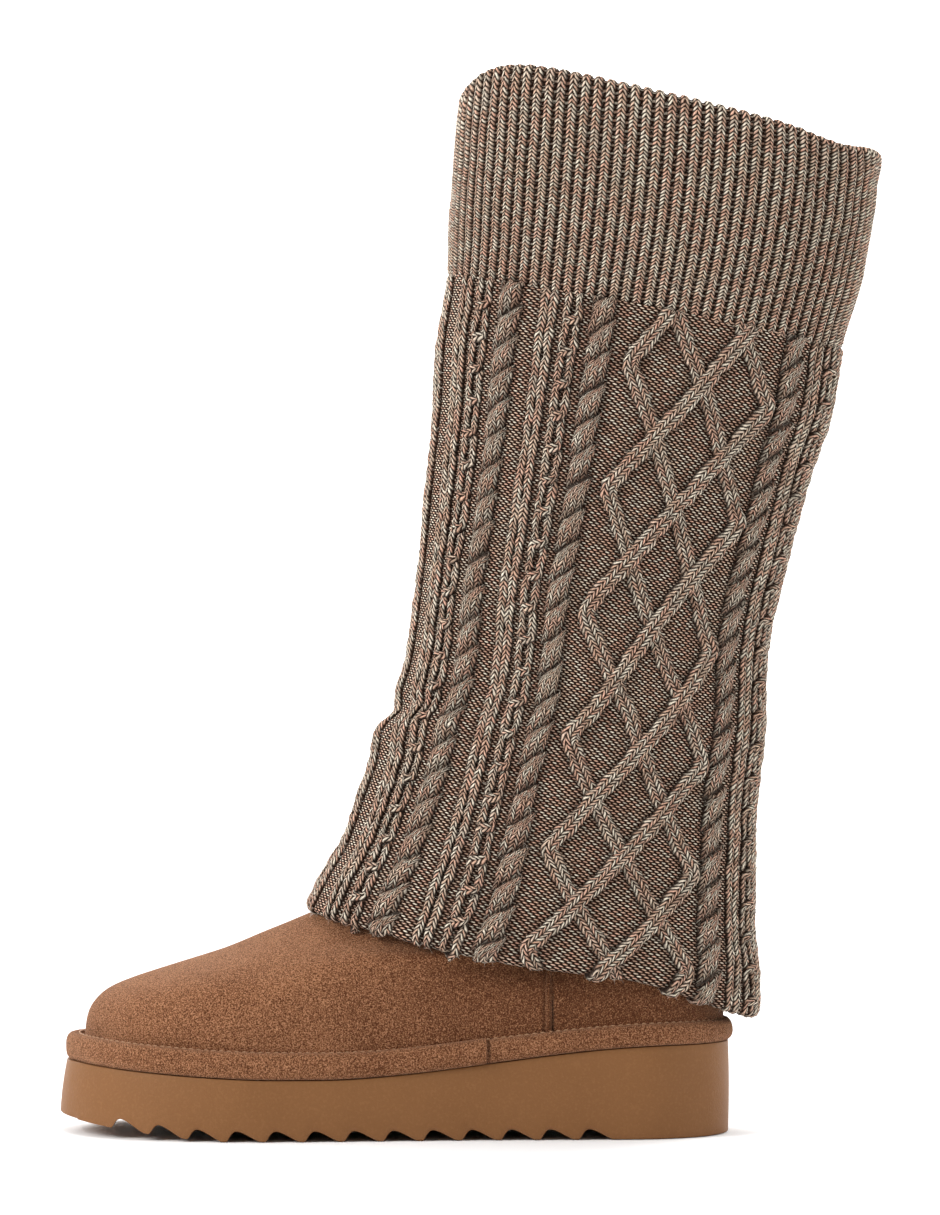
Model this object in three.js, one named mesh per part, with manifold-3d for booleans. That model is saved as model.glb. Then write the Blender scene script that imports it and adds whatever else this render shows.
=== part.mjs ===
// Left platform boot: foam platform with a saw-tooth tread, suede foot and band, and a knitted shaft.
// Millimetres. +Z is up, the toe points along -X, and the outer side of the foot faces -Y.
// The origin is on the floor under the middle of the heel.

import * as THREE from 'three';
import { mergeVertices } from 'three/addons/utils/BufferGeometryUtils.js';
import Module from 'manifold-3d';

const wasm = await Module();
wasm.setup();

const { clamp, degToRad, lerp, smoothstep } = THREE.MathUtils;

// Foam platform
const platformLength = 265.5; // along its top edge
const heelReach = 29; // from the origin back to the platform's rear edge
const ballWidth = 103;
const forefootHeight = 23.8;
const heelHeight = 36.6;
const toeLift = 4.7; // how much the platform's top rises again at the tip
const toeSpring = 7.4; // how far the tip's underside clears the floor
const toeFlare = 3.7; // how far the tip's lower edge stands out past its top edge
const toeTurn = 7; // how far the tip is turned towards the inner side
const endFullness = 0.9; // under 1 makes the outline's ends blunter than an ellipse
const toeEase = 3; // how late, on the way to the tip, the insets and bulges change
const centreCurve = { from: 0.4, power: 1.2 }; // where the outline starts to turn inward, and how late
const topSlope = { from: 0.08, to: 0.62 }; // shares between which the top falls from heel to forefoot
const toeLiftCurve = { from: 0.68, power: 1.5 };
const toeSpringNotches = 3; // the underside starts to rise this many notches before the last
const toeSpringPower = 1.4;

// Tread: notches right across the platform
const notchPitch = 15.4;
const notchCount = 13;
const notchDepth = 4;
const heelBlockReach = 17; // from the origin forward to the first notch

// Suede band around the platform's top edge
const bandHeightToe = 10.6;
const bandHeightHeel = 8.8;
const bandBulgeHeel = 1.8; // how far the band stands out past the platform's top edge
const bandBulgeToe = 0.6;
const bandTaper = { from: 0.1, to: 0.7 }; // shares between which the band's height changes
const lapStep = 0.9; // the band's overlapping end stands this much proud
const lapPlace = -68; // where on the outer side the band laps over itself
const lapRun = 45; // the overlap sinks back to the band's own thickness over this length
const lapRise = 0.6; // share of that step which the band's top edge rises too
const lapEdge = 0.004; // angle over which the lap's end steps up

// Suede foot
const suedeWall = 2.6;
const toeInset = 7.2; // from the platform's top edge in to the suede, at the tip
const heelInset = 2.1;
const seamPlace = -43.5; // the upright side seam between vamp and counter
const seamProud = 0.8;
const seamHalf = 1.3;
const seamStops = 5; // rings below the collar where the seam is no longer raised
const seamShift = { least: 0.72, most: 1.2 }; // how far a ring's points may crowd to follow the seam
const footHeight = 165; // height of the suede collar, in front
const ankleHalfWidth = 38;

// Insole
const insoleThick = 5;

// Knitted shaft
const knitWall = 4.5;
const shaftHeight = 428; // the rim's plane, in front
const shaftDepth = 163.3; // front to back at the rim
const shaftWidth = 100; // side to side at the rim
const cuffStep = 0.8; // the rib cuff starts this much inside the cabled part
const cuffFade = 0.1; // share of the shaft over which that step runs out
const rimDroop = 15; // how far the rim dips at its front
const rimDroopSpread = degToRad(27);
const collarFrom = 0.215; // shares of the shaft between which the suede collar lies against the knit
const collarTo = 0.255;

const seatGap = 0.3; // between pieces that touch
const around = 72; // points round every ring

// Half-widths of the platform's top edge either side of its centre line, as shares of the ball width.
const planRows = [
  { at: 0.03, outer: 0.228, inner: 0.228 },
  { at: 0.1, outer: 0.354, inner: 0.354 },
  { at: 0.2, outer: 0.388, inner: 0.383 },
  { at: 0.35, outer: 0.403, inner: 0.379 },
  { at: 0.5, outer: 0.442, inner: 0.408 },
  { at: 0.65, outer: 0.495, inner: 0.471 },
  { at: 0.74, outer: 0.508, inner: 0.488 },
  { at: 0.85, outer: 0.456, inner: 0.451 },
  { at: 0.93, outer: 0.345, inner: 0.354 },
  { at: 0.98, outer: 0.189, inner: 0.199 },
];

// One notch seen from the side, from its toe end to its heel end, as shares of the pitch and the depth.
const notchRows = [
  { along: 0.07, deep: 0 },
  { along: 0.17, deep: 0.62 },
  { along: 0.26, deep: 0.96 },
  { along: 0.36, deep: 1 },
  { along: 0.5, deep: 0.82 },
  { along: 0.8, deep: 0.22 },
  { along: 0.93, deep: 0 },
];

// The band's cross-section: out runs from the suede to the bulge, up from the platform to the band's top.
const bandRows = [
  { out: 0, up: 0 },
  { out: 0.72, up: 0 },
  { out: 0.96, up: 0.2 },
  { out: 1, up: 0.48 },
  { out: 0.93, up: 0.76 },
  { out: 0.7, up: 0.95 },
  { out: 0.35, up: 1 },
  { out: 0, up: 0.9 },
];

// Rings of the suede foot above the band. front and back are shares of the platform's length, measured from
// its rear edge; frontUp, backUp and drop, how far a ring's sides hang below its ends, are shares of
// footHeight; sole says how much of the platform's own outline is left, follow how much of its rise and fall;
// width is the ring's half-width as a share of that outline, or of ankleHalfWidth where sole is 0.
const footRows = [
  { front: 0.964, frontUp: 0.297, back: 0.0068, backUp: 0.33, sole: 1, follow: 0.75, width: 0.955, drop: 0 },
  { front: 0.942, frontUp: 0.336, back: 0.0053, backUp: 0.362, sole: 1, follow: 0.45, width: 0.945, drop: 0 },
  { front: 0.903, frontUp: 0.366, back: 0.0045, backUp: 0.394, sole: 1, follow: 0.2, width: 0.925, drop: 0 },
  { front: 0.834, frontUp: 0.405, back: 0.0045, backUp: 0.436, sole: 0.9, follow: 0, width: 0.9, drop: 0.006 },
  { front: 0.744, frontUp: 0.453, back: 0.0038, backUp: 0.485, sole: 0.7, follow: 0, width: 0.9, drop: 0.024 },
];

// The rings above those, under the knit. Here front and back are shares of shaftDepth ahead of and behind the
// origin; the other columns are as above.
const ankleRows = [
  { front: 0.884, frontUp: 0.512, back: 0.1727, backUp: 0.533, sole: 0.4, width: 0.89, drop: 0.055 },
  { front: 0.806, frontUp: 0.548, back: 0.1763, backUp: 0.576, sole: 0.2, width: 0.92, drop: 0.067 },
  { front: 0.754, frontUp: 0.597, back: 0.1807, backUp: 0.612, sole: 0.1, width: 0.94, drop: 0.061 },
  { front: 0.71, frontUp: 0.667, back: 0.1875, backUp: 0.648, sole: 0, width: 0.97, drop: 0.03 },
  { front: 0.676, frontUp: 0.776, back: 0.1992, backUp: 0.691, sole: 0, width: 1.01, drop: 0 },
];

// Sections of the knitted shaft from hem to rim. front and back are shares of shaftDepth ahead of and behind
// the origin; heights are shares of shaftHeight; half is the half-width as a share of shaftWidth / 2.
const shaftRows = [
  { at: 0, front: 0.863, frontUp: 0.2115, back: 0.257, backUp: 0.11, half: 1 },
  { at: 0.035, front: 0.82, frontUp: 0.2425, back: 0.258, backUp: 0.1475, half: 1 },
  { at: 0.08, front: 0.777, frontUp: 0.27, back: 0.247, backUp: 0.185, half: 0.98 },
  { at: 0.15, front: 0.722, frontUp: 0.325, back: 0.244, backUp: 0.245, half: 0.94 },
  { at: 0.215, front: 0.677, frontUp: 0.373, back: 0.246, backUp: 0.299, half: 0.92 },
  { at: 0.265, front: 0.643, frontUp: 0.4135, back: 0.257, backUp: 0.341, half: 0.9 },
  { at: 0.31, front: 0.618, frontUp: 0.444, back: 0.266, backUp: 0.3715, half: 0.89 },
  { at: 0.4, front: 0.591, frontUp: 0.5235, back: 0.276, backUp: 0.453, half: 0.88 },
  { at: 0.5, front: 0.566, frontUp: 0.6075, back: 0.331, backUp: 0.54, half: 0.89 },
  { at: 0.585, front: 0.548, frontUp: 0.6775, back: 0.383, backUp: 0.612, half: 0.91 },
  { at: 0.655, front: 0.539, frontUp: 0.7335, back: 0.4285, backUp: 0.6635, half: 0.93 },
  { at: 0.74, front: 0.516, frontUp: 0.799, back: 0.456, backUp: 0.729, half: 0.94 },
  { at: 0.82, front: 0.505, frontUp: 0.86, back: 0.499, backUp: 0.79, half: 0.96 },
  { at: 0.9, front: 0.497, frontUp: 0.918, back: 0.528, backUp: 0.846, half: 0.98 },
  { at: 0.97, front: 0.487, frontUp: 0.975, back: 0.541, backUp: 0.893, half: 1 },
  { at: 1, front: 0.48, frontUp: 1, back: 0.541, backUp: 0.909, half: 1 },
];
const cuffStart = 0.74; // the share at which the rib cuff begins

// How far the hem is pushed up on the outer side, where the counter's edge lies under it.
const hemLift = 5;
const hemLiftTurn = degToRad(62);
const hemLiftSpread = degToRad(24);
const hemLiftEnds = 0.08; // the share of the shaft at which the lift has died away

// A smooth curve through a table's column.
function readTable(rows, at, column) {
  const last = rows.length - 1;
  let i = 0;
  while (i < last - 1 && rows[i + 1].at < at) i++;
  const slopeAt = (k) => {
    const before = rows[Math.max(k - 1, 0)];
    const after = rows[Math.min(k + 1, last)];
    return (after[column] - before[column]) / (after.at - before.at);
  };
  const from = rows[i];
  const to = rows[i + 1];
  const span = to.at - from.at;
  const u = clamp((at - from.at) / span, 0, 1);
  const bend = u * u * (3 - 2 * u);
  const leave = u * (1 - u) * (1 - u) * span * slopeAt(i);
  const arrive = u * u * (1 - u) * span * slopeAt(i + 1);
  return lerp(from[column], to[column], bend) + leave - arrive;
}

// Angles round a ring: 0 at the heel, then the outer side, the toe at half a turn and the inner side.
const evenTurns = Array.from({ length: around }, (_, i) => (i / around) * Math.PI * 2);
const shareOf = (turn) => (1 - Math.cos(turn)) / 2;
const turnAt = (share) => Math.acos(1 - 2 * share);
const endRound = (share) => Math.pow(2 * Math.sqrt(share * (1 - share)), endFullness);

function withTurns(extra) {
  return [...evenTurns, ...extra].sort((a, b) => a - b);
}

// How wide the sole is at a share of its length, with the rounding of its ends taken out.
function sideWidth(share, outer) {
  const column = outer ? 'outer' : 'inner';
  const sides = planRows.map((row) => ({ at: row.at, side: row[column] / endRound(row.at) }));
  return ballWidth * readTable(sides, share, 'side');
}

const centreLine = (share) => toeTurn * Math.pow(smoothstep(share, centreCurve.from, 1), centreCurve.power);

function planPoint(turn) {
  const share = shareOf(turn);
  const outer = turn <= Math.PI;
  const half = sideWidth(share, outer) * endRound(share);
  return new THREE.Vector3(heelReach - platformLength * share, centreLine(share) + (outer ? -half : half), 0);
}

// Moves a ring's points outward in plan; amount may depend on the angle.
function offsetPlan(turns, amount) {
  const reach = 0.01;
  return turns.map((turn) => {
    const ahead = planPoint((turn + reach) % (Math.PI * 2));
    const along = ahead.sub(planPoint((turn - reach + Math.PI * 2) % (Math.PI * 2)));
    const out = new THREE.Vector3(-along.y, along.x, 0).normalize();
    return planPoint(turn).addScaledVector(out, amount(turn));
  });
}

const platformShare = (x) => clamp((heelReach - x) / platformLength, 0, 1);

function topHeight(x) {
  const share = platformShare(x);
  const heel = 1 - smoothstep(share, topSlope.from, topSlope.to);
  const { from, power } = toeLiftCurve;
  const tip = Math.pow(clamp((share - from) / (1 - from), 0, 1), power);
  return lerp(forefootHeight, heelHeight, heel) + toeLift * tip;
}

const lastNotch = -heelBlockReach - notchPitch * notchCount;
const springStart = -heelBlockReach - notchPitch * (notchCount - toeSpringNotches);
const tipX = heelReach - platformLength - toeFlare;

function bottomHeight(x) {
  const share = clamp((springStart - x) / (springStart - tipX), 0, 1);
  return toeSpring * Math.pow(share, toeSpringPower);
}

const suedeInset = (share) => lerp(heelInset, toeInset, Math.pow(share, toeEase));

function bandHeight(share) {
  return lerp(bandHeightHeel, bandHeightToe, smoothstep(share, bandTaper.from, bandTaper.to));
}

// Rings joined side to side. A closed run of rings makes a hollow wall; an open run gets a cap at each end.
function loft(rings, closed) {
  const count = rings[0].length;
  const positions = rings.flat().flatMap((p) => [p.x, p.y, p.z]);
  const index = [];
  const runs = closed ? rings.length : rings.length - 1;
  for (let r = 0; r < runs; r++) {
    const low = r * count;
    const high = ((r + 1) % rings.length) * count;
    for (let i = 0; i < count; i++) {
      const next = (i + 1) % count;
      index.push(low + i, low + next, high + next, low + i, high + next, high + i);
    }
  }
  if (!closed) {
    const cap = (ring, first, flip) => {
      const flat = ring.map((p) => new THREE.Vector2(p.x, p.y));
      for (const [a, b, c] of THREE.ShapeUtils.triangulateShape(flat, [])) {
        index.push(first + a, first + (flip ? c : b), first + (flip ? b : c));
      }
    };
    const forward = THREE.ShapeUtils.isClockWise(rings[0].map((p) => new THREE.Vector2(p.x, p.y)));
    cap(rings[0], 0, !forward);
    cap(rings.at(-1), (rings.length - 1) * count, forward);
  }
  const geometry = new THREE.BufferGeometry();
  geometry.setAttribute('position', new THREE.Float32BufferAttribute(positions, 3));
  return outward(geometry, index);
}

// Turns every face over if the solid came out inside out.
function outward(geometry, index) {
  const p = geometry.attributes.position;
  const corner = (i) => new THREE.Vector3().fromBufferAttribute(p, i);
  let volume = 0;
  for (let i = 0; i < index.length; i += 3) {
    volume += corner(index[i]).dot(corner(index[i + 1]).cross(corner(index[i + 2])));
  }
  const faces = [];
  for (let i = 0; i < index.length; i += 3) {
    faces.push(index[i], ...(volume > 0 ? [index[i + 1], index[i + 2]] : [index[i + 2], index[i + 1]]));
  }
  geometry.setIndex(faces);
  geometry.computeVertexNormals();
  return geometry;
}

function toSolid(geometry) {
  const bare = geometry.clone();
  bare.deleteAttribute('normal');
  bare.deleteAttribute('uv');
  const merged = mergeVertices(bare, 1e-4);
  return new wasm.Manifold(
    new wasm.Mesh({
      numProp: 3,
      vertProperties: new Float32Array(merged.attributes.position.array),
      triVerts: new Uint32Array(merged.index.array),
    })
  );
}

function toGeometry(solid) {
  const mesh = solid.getMesh();
  const geometry = new THREE.BufferGeometry();
  geometry.setAttribute('position', new THREE.Float32BufferAttribute(mesh.vertProperties, 3));
  geometry.setIndex(new THREE.BufferAttribute(mesh.triVerts, 1));
  geometry.computeVertexNormals();
  return geometry;
}

// The same rings moved inward by the wall, square to the surface that they make.
function insideOf(rings, wall, keepEnds) {
  const count = rings[0].length;
  return rings.map((ring, r) =>
    ring.map((p, i) => {
      const round = ring[(i + 1) % count].clone().sub(ring[(i + count - 1) % count]);
      const below = rings[Math.max(r - 1, 0)][i];
      const above = rings[Math.min(r + 1, rings.length - 1)][i];
      const normal = round.cross(above.clone().sub(below)).normalize();
      if (keepEnds && (r === 0 || r === rings.length - 1)) normal.setZ(0).normalize();
      return p.clone().addScaledVector(normal, wall);
    })
  );
}

// Platform: the outline with flared walls, cut to the side profile with its notches.
function platform() {
  const tall = heelHeight + toeSpring;
  const flareAt = (height) => (turn) => {
    const share = shareOf(turn);
    return toeFlare * share * share * (1 - height / topHeight(heelReach - platformLength * share));
  };
  const ringAt = (height) => offsetPlan(evenTurns, flareAt(height)).map((p) => p.setZ(height));
  const walls = loft([ringAt(-1), ringAt(tall)], false);

  const profile = new THREE.Shape();
  const past = 5;
  const topSteps = 26;
  const tipSteps = 4;
  const back = heelReach + past;
  const front = tipX - past;
  profile.moveTo(back, 0);
  for (let n = 0; n < notchCount; n++) {
    const heelEnd = -heelBlockReach - n * notchPitch;
    for (const { along, deep } of [...notchRows].reverse()) {
      const x = heelEnd - notchPitch * (1 - along);
      profile.lineTo(x, bottomHeight(x) + deep * notchDepth);
    }
  }
  for (let i = 1; i <= tipSteps; i++) {
    const x = lerp(lastNotch, tipX, i / tipSteps);
    profile.lineTo(x, bottomHeight(x));
  }
  profile.lineTo(front, bottomHeight(front));
  for (let i = 0; i <= topSteps; i++) {
    const x = lerp(front, back, i / topSteps);
    profile.lineTo(x, topHeight(x));
  }
  const slab = new THREE.ExtrudeGeometry(profile, { depth: ballWidth * 2, bevelEnabled: false });
  slab.rotateX(Math.PI / 2).translate(0, ballWidth, 0);
  return toGeometry(toSolid(walls).intersect(toSolid(slab)));
}

// Band: its cross-section carried round the platform's edge, with the lap on the outer side.
function band() {
  const lapTurn = turnAt(platformShare(lapPlace));
  const turns = withTurns([lapTurn - lapEdge, lapTurn + lapEdge]);
  const lapAt = (turn) => {
    const ahead = platformLength * (shareOf(turn) - shareOf(lapTurn));
    return turn > lapTurn && turn < Math.PI ? lapStep * clamp(1 - ahead / lapRun, 0, 1) : 0;
  };
  const rings = bandRows.map(({ out, up }) => {
    const bulge = (share) => lerp(bandBulgeHeel, bandBulgeToe, Math.pow(share, toeEase));
    const reach = (turn) => {
      const share = shareOf(turn);
      return lerp(-suedeInset(share) + seatGap, bulge(share) + lapAt(turn), out);
    };
    return offsetPlan(turns, reach).map((p, i) => {
      const share = shareOf(turns[i]);
      return p.setZ(topHeight(p.x) + seatGap + up * (bandHeight(share) + lapAt(turns[i]) * lapRise));
    });
  });
  return loft(rings, true);
}

// A ring of the suede foot at one row of its table, between the places of its back and front ends.
function footRing(row, back, front, turns) {
  const crowd = Math.log((back - seamPlace) / (back - front)) / Math.log(platformShare(seamPlace));
  const power = clamp(crowd, seamShift.least, seamShift.most);
  return turns.map((turn) => {
    const outer = turn <= Math.PI;
    const share = Math.pow(shareOf(turn), power);
    const x = lerp(back, front, share);
    const straight = lerp(row.backUp, row.frontUp, share) * footHeight;
    const lift = row.frontUp * footHeight - topHeight(front);
    const half = lerp(ankleHalfWidth, sideWidth(share, outer), row.sole) * row.width * endRound(share);
    const y = centreLine(share) * row.sole + (outer ? -half : half);
    const hang = row.drop * footHeight * Math.sin(turn) ** 2;
    return new THREE.Vector3(x, y, lerp(straight, topHeight(x) + lift, row.follow ?? 0) - hang);
  });
}

// The suede foot's outer surface, from the platform up to its collar inside the knit.
function suedeRings(turns) {
  const edge = (lift) =>
    offsetPlan(turns, (turn) => -suedeInset(shareOf(turn))).map((p, i) =>
      p.setZ(topHeight(p.x) + seatGap + lift * bandHeight(shareOf(turns[i])))
    );
  const place = (share) => heelReach - platformLength * share;
  const foot = footRows.map((row) => footRing(row, place(row.back), place(row.front), turns));
  const ankle = ankleRows.map((row) => footRing(row, row.back * shaftDepth, -row.front * shaftDepth, turns));
  const collar = [collarFrom, collarTo].map((at) => shaftRing(at, turns, knitWall + seatGap));
  return [edge(0), edge(0.5), edge(1), ...foot, ...ankle, ...collar];
}

function upper() {
  const seamShare = platformShare(seamPlace);
  const seamTurns = [-seamHalf, 0, seamHalf].map((d) => turnAt(seamShare + d / platformLength));
  const turns = withTurns([...seamTurns, ...seamTurns.map((turn) => Math.PI * 2 - turn)]);
  const rings = suedeRings(turns);
  const inner = insideOf(rings, suedeWall, true);
  const onSeam = (turn) => [seamTurns[1], Math.PI * 2 - seamTurns[1]].some((t) => Math.abs(t - turn) < 1e-9);
  const outer = rings.map((ring, r) => {
    const lifted = insideOf([ring, rings[Math.min(r + 1, rings.length - 1)]], -seamProud, true)[0];
    const ridged = r > 2 && r < rings.length - seamStops;
    return ring.map((p, i) => (ridged && onSeam(turns[i]) ? lifted[i] : p));
  });
  return loft([...outer, ...inner.reverse()], true);
}

// A ring of the shaft: inset moves it inward in its own slanted plane.
function shaftRing(at, turns, inset = 0) {
  const read = (column) => readTable(shaftRows, at, column);
  const front = new THREE.Vector3(-read('front') * shaftDepth, 0, read('frontUp') * shaftHeight);
  const back = new THREE.Vector3(read('back') * shaftDepth, 0, read('backUp') * shaftHeight);
  const slope = front.clone().sub(back).normalize();
  front.addScaledVector(slope, -inset);
  back.addScaledVector(slope, inset);
  const half = (read('half') * shaftWidth) / 2 - inset;
  const square = 0.94; // under 1 fills the section's corners out
  return turns.map((turn) => {
    const share = shareOf(turn);
    const side = Math.sign(Math.sin(turn)) * Math.pow(Math.abs(Math.sin(turn)), square);
    const p = back.clone().lerp(front, share);
    const ahead = (turn - Math.PI) / rimDroopSpread;
    const droop = rimDroop * smoothstep(at, cuffStart, 1) * Math.exp(-ahead * ahead);
    const beside = (turn - hemLiftTurn) / hemLiftSpread;
    const lift = hemLift * (1 - smoothstep(at, 0, hemLiftEnds)) * Math.exp(-beside * beside);
    return p.set(p.x, -half * side, p.z - droop + lift);
  });
}

function shaft() {
  const turns = evenTurns;
  const body = shaftRows.map((row) => row.at);
  const outerRing = (at) => {
    const step = at > cuffStart ? cuffStep * (1 - smoothstep(at, cuffStart, cuffStart + cuffFade)) : 0;
    return shaftRing(at, turns, step);
  };
  const stepUp = 0.006;
  const ats = [...body, cuffStart + stepUp].sort((a, b) => a - b);
  const outer = ats.map(outerRing);
  const rounded = (at, inset, lift) => shaftRing(at, turns, inset).map((p) => p.setZ(p.z + lift));
  const kept = body.filter((at, i) => i % 2 === 0 || at === 1 || at === collarFrom);
  const innerAts = [...kept, collarTo].sort((a, b) => a - b);
  const inner = innerAts.map((at) => shaftRing(at, turns, knitWall)).reverse();
  const hemRoll = rounded(0, knitWall / 2, -knitWall / 4);
  const rimRoll = rounded(1, knitWall / 2, knitWall / 4);
  return loft([hemRoll, ...outer, rimRoll, ...inner], true);
}

// Insole: lies on the platform inside the suede wall.
function insole() {
  const inset = (turn) => -suedeInset(shareOf(turn)) - suedeWall - seatGap;
  const ring = (extra, lift) => offsetPlan(evenTurns, (turn) => inset(turn) - extra).map((p) => p.setZ(lift));
  const tall = heelHeight + insoleThick * 4;
  const blank = loft([ring(0, 0), ring(0, tall)], false);
  const profile = new THREE.Shape();
  const steps = 22;
  const line = (lift) =>
    Array.from({ length: steps + 1 }, (_, i) => {
      const x = heelReach - (platformLength * i) / steps;
      return new THREE.Vector2(x, topHeight(x) + lift);
    });
  profile.setFromPoints([...line(seatGap), ...line(seatGap + insoleThick).reverse()]);
  const slab = new THREE.ExtrudeGeometry(profile, { depth: ballWidth * 2, bevelEnabled: false });
  slab.rotateX(Math.PI / 2).translate(0, ballWidth, 0);
  return toGeometry(toSolid(blank).intersect(toSolid(slab)));
}

const finish = {
  foam: { color: 0x8a6038, roughness: 0.62, metalness: 0 },
  suede: { color: 0x8c5a38, roughness: 0.95, metalness: 0 },
  knit: { color: 0x8a7566, roughness: 1, metalness: 0 },
  fleece: { color: 0xb08a68, roughness: 1, metalness: 0 },
};

const pieces = [
  ['platform', platform(), finish.foam],
  ['band', band(), finish.suede],
  ['upper', upper(), finish.suede],
  ['insole', insole(), finish.fleece],
  ['shaft', shaft(), finish.knit],
];

const boot = new THREE.Group();
for (const [name, geometry, look] of pieces) {
  const mesh = new THREE.Mesh(geometry, new THREE.MeshStandardMaterial(look));
  mesh.name = name;
  boot.add(mesh);
}

export default boot;
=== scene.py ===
import math

import bpy
import numpy as np
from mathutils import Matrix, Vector


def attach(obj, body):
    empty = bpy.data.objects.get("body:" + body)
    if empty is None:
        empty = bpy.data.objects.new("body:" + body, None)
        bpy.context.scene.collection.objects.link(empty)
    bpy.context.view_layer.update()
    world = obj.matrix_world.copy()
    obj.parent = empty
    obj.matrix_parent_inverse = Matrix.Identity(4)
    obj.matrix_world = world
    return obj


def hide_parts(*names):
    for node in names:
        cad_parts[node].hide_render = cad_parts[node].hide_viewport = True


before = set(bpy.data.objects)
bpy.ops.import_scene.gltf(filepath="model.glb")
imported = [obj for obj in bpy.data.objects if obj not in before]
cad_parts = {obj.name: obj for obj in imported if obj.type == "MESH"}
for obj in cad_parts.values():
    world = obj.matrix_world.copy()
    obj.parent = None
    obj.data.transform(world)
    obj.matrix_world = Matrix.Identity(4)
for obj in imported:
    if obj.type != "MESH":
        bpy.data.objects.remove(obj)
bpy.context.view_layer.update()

mm = 0.001


# Number helpers

def smooth(x, start, end):
    t = np.clip((x - start) / (end - start), 0, 1)
    return t * t * (3 - 2 * t)


def hump(x, spread):
    return np.exp(-(x / spread) ** 2)


def curveThrough(ats, values, x):
    # a smooth curve through the points, flat beyond its ends
    ats, values = np.array(ats, float), np.array(values, float)
    slopes = np.gradient(values, ats)
    slopes[1:-1] = (values[2:] - values[:-2]) / (ats[2:] - ats[:-2])
    i = np.clip(np.searchsorted(ats, x) - 1, 0, len(ats) - 2)
    span = ats[i + 1] - ats[i]
    u = np.clip((x - ats[i]) / span, 0, 1)
    bend = u * u * (3 - 2 * u)
    leave = u * (1 - u) ** 2 * span * slopes[i]
    arrive = u * u * (1 - u) * span * slopes[i + 1]
    return values[i] + (values[i + 1] - values[i]) * bend + leave - arrive


def unit(v):
    return v / np.linalg.norm(v, axis=-1, keepdims=True)


def gridNormals(points, wrap):
    # outward normals of a grid of rings, rows going up and columns going round
    around = np.roll(points, -1, 1) - np.roll(points, 1, 1)
    if not wrap:
        around = np.gradient(points, axis=1)
    up = np.gradient(points, axis=0)
    out = np.cross(up, around)
    return out / np.maximum(np.linalg.norm(out, axis=2, keepdims=True), 1e-12)


def lengthAlong(points):
    # how far along its line each point is
    return np.concatenate([[0], np.cumsum(np.linalg.norm(np.diff(points, axis=0), axis=1))])


def valueNoise(x, y, seed):
    # soft numbers from -1 to 1 that change about once per unit
    rng = np.random.default_rng(seed)
    size = 64
    table = rng.uniform(-1, 1, (size, size))
    xi, yi = np.floor(x).astype(int), np.floor(y).astype(int)
    fx, fy = x - xi, y - yi
    fx, fy = fx * fx * (3 - 2 * fx), fy * fy * (3 - 2 * fy)
    pick = lambda a, b: table[a % size, b % size]
    low = pick(xi, yi) * (1 - fx) + pick(xi + 1, yi) * fx
    high = pick(xi, yi + 1) * (1 - fx) + pick(xi + 1, yi + 1) * fx
    return low * (1 - fy) + high * fy


# Mesh helpers

def meshObject(name, vertices, quads, material, uvMaps=None):
    mesh = bpy.data.meshes.new(name)
    mesh.from_pydata(np.asarray(vertices).tolist(), [], np.asarray(quads).tolist())
    for uvName, values in (uvMaps or {}).items():
        mesh.uv_layers.new(name=uvName).data.foreach_set("uv", np.asarray(values, np.float32).ravel())
    mesh.shade_smooth()
    mesh.materials.append(material)
    piece = bpy.data.objects.new(name, mesh)
    bpy.context.collection.objects.link(piece)
    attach(piece, "root")
    return piece


def gridQuads(rows, columns, wrapRound=True, wrapUp=False):
    up = np.arange(rows if wrapUp else rows - 1)
    across = np.arange(columns if wrapRound else columns - 1)
    r, c = np.meshgrid(up, across, indexing="ij")
    r2, c2 = (r + 1) % rows, (c + 1) % columns
    corners = [r * columns + c, r2 * columns + c, r2 * columns + c2, r * columns + c2]
    return np.stack(corners, -1).reshape(-1, 4)


# Shader helpers

class Flow:
    # a shader socket that can be used in sums
    def __init__(self, graph, socket):
        self.graph, self.socket = graph, socket

    def maths(self, operation, *others):
        return self.graph.add("ShaderNodeMath", {"operation": operation}, self, *others)

    def __add__(self, other):
        return self.maths("ADD", other)

    def __sub__(self, other):
        return self.maths("SUBTRACT", other)

    def __rsub__(self, other):
        return self.graph.add("ShaderNodeMath", {"operation": "SUBTRACT"}, other, self)

    def __mul__(self, other):
        return self.maths("MULTIPLY", other)

    def __pow__(self, other):
        return self.maths("POWER", other)

    def __abs__(self):
        return self.maths("ABSOLUTE")

    def fract(self):
        return self.maths("FRACT")

    def floor(self):
        return self.maths("FLOOR")

    def clip(self):
        return self.graph.add("ShaderNodeClamp", {}, self)

    __radd__, __rmul__ = __add__, __mul__


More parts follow.
